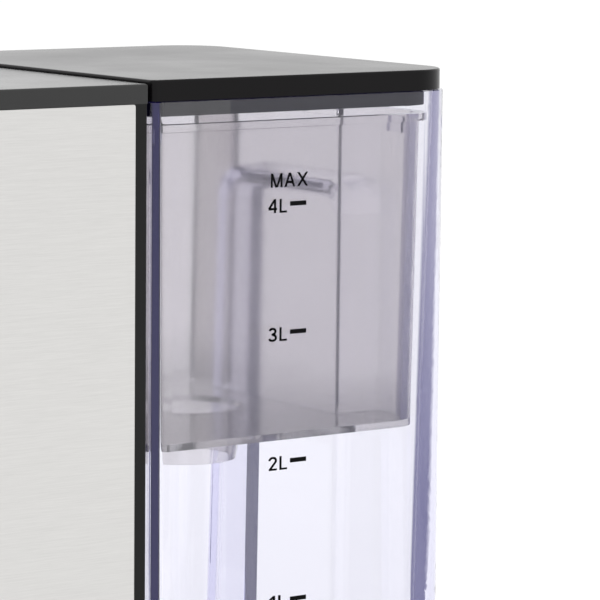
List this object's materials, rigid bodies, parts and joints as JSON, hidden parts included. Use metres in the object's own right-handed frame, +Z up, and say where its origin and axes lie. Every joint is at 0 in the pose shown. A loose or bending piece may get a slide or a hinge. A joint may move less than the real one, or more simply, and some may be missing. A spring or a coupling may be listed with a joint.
{
  "type": "hot water dispenser",
  "caption": "Counter-top hot water dispenser with a black and brushed steel body, a control head over a cup space with drip tray, and a clear lift-off tank with lid and filter basket.",
  "frame": {"origin": "middle of the footprint, on the counter", "axes": "+Z up, -Y towards the controls and the cup space, +Y towards the tank, +X to the right of a person who faces the controls"},
  "size_m": [0.175, 0.33, 0.29],
  "materials": {
    "black_plastic": "satin, fine grain",
    "black_gloss": "gloss",
    "dark_lens": "polished, smoked",
    "button_plastic": "satin gloss",
    "brushed_steel": "fine horizontal brushing",
    "clear_plastic": "clear, faint violet tint",
    "milky_plastic": "translucent, milky",
    "rubber": "matt",
    "white_plastic": "moulded",
    "silicone": "translucent hose",
    "plain_steel": "zinc plated",
    "spout_metal": "polished",
    "heater_metal": "cast",
    "circuit_board": "solder mask",
    "dark_component": "moulded",
    "lead_jacket": "smooth jacket"
  },
  "bodies": {
    "body": {"base_plate": "black_plastic", "feet": "rubber", "base_screws": "plain_steel", "body_shell": "black_plastic", "top_cover": "black_plastic", "side_panel_left": "brushed_steel", "side_panel_right": "brushed_steel", "splash_plate": "brushed_steel", "front_panel": "black_gloss", "display_lens": "dark_lens", "display_module": "dark_component", "tact_switches": "dark_component", "control_board": "circuit_board", "outlet_chamber": "white_plastic", "chamber_lid": "white_plastic", "spout_nozzle": "spout_metal", "spout_shroud": "black_plastic", "tank_platform": "black_plastic", "tank_socket": "white_plastic", "socket_seal": "rubber", "cord_gland": "rubber", "flow_meter_body": "white_plastic", "flow_meter_cap": "white_plastic", "pump_housing": "white_plastic", "pump_motor": "plain_steel", "pump_bracket": "white_plastic", "heater_block": "heater_metal", "heater_clamps": "plain_steel", "thermostat": "heater_metal", "temperature_sensor": "heater_metal", "power_board": "circuit_board", "power_components": "dark_component", "wire_harness": "lead_jacket", "tube_socket_meter": "silicone", "tube_meter_pump": "silicone", "tube_pump_heater": "silicone", "tube_heater_outlet": "silicone", "hose_clips": "plain_steel"},
    "tank": {"tank_shell": "clear_plastic", "valve_body": "white_plastic", "valve_seal": "rubber", "valve_cap": "white_plastic", "valve_spring": "plain_steel"},
    "plunger": {"valve_plunger": "white_plastic"},
    "basket": {"filter_basket": "milky_plastic"},
    "lid": {"tank_lid": "black_plastic"},
    "tray": {"drip_tray": "black_plastic"},
    "grid": {"drip_grid": "brushed_steel"},
    "impeller": {"pump_impeller": "white_plastic"},
    "meter_wheel": {"flow_meter_wheel": "white_plastic"},
    "button_power": {"button_power": "button_plastic"},
    "button_temperature": {"button_temperature": "button_plastic"},
    "button_volume": {"button_volume": "button_plastic"},
    "button_start": {"button_start": "button_plastic"}
  },
  "joints": [
    {"name": "tank_lift", "type": "slide", "parent": "body", "child": "tank", "axis": [0, 0, 1], "range_m": [0, 0.08]},
    {"name": "plunger_close", "type": "slide", "parent": "tank", "child": "plunger", "axis": [0, 0, 1], "range_m": [-0.003, 0], "deforming": ["valve_spring"]},
    {"name": "basket_lift", "type": "slide", "parent": "tank", "child": "basket", "axis": [0, 0, 1], "range_m": [0, 0.14]},
    {"name": "lid_lift", "type": "slide", "parent": "basket", "child": "lid", "axis": [0, 0, 1], "range_m": [0, 0.12]},
    {"name": "tray_pull", "type": "slide", "parent": "body", "child": "tray", "axis": [0, -1, 0], "range_m": [0, 0.1]},
    {"name": "grid_lift", "type": "slide", "parent": "tray", "child": "grid", "axis": [0, 0, 1], "range_m": [0, 0.03]},
    {"name": "impeller_spin", "type": "hinge", "parent": "body", "child": "impeller", "pos_m": [-0.0555, -0.0005, 0.024], "axis": [0, 1, 0], "continuous": true},
    {"name": "meter_spin", "type": "hinge", "parent": "body", "child": "meter_wheel", "pos_m": [-0.0555, 0.058, 0.018], "axis": [0, 0, 1], "continuous": true},
    {"name": "button_power_press", "type": "slide", "parent": "body", "child": "button_power", "axis": [0, 1, 0], "range_m": [0, 0.001], "stiffness_N_per_m": 1500, "springref_m": -0.0005},
    {"name": "button_temperature_press", "type": "slide", "parent": "body", "child": "button_temperature", "axis": [0, 1, 0], "range_m": [0, 0.001], "stiffness_N_per_m": 1500, "springref_m": -0.0005},
    {"name": "button_volume_press", "type": "slide", "parent": "body", "child": "button_volume", "axis": [0, 1, 0], "range_m": [0, 0.001], "stiffness_N_per_m": 1500, "springref_m": -0.0005},
    {"name": "button_start_press", "type": "slide", "parent": "body", "child": "button_start", "axis": [0, 1, 0], "range_m": [0, 0.001], "stiffness_N_per_m": 1500, "springref_m": -0.0005}
  ],
  "couplings": [
    {"joint": "plunger_close", "follows": "tank_lift", "ratio": -0.0375}
  ]
}
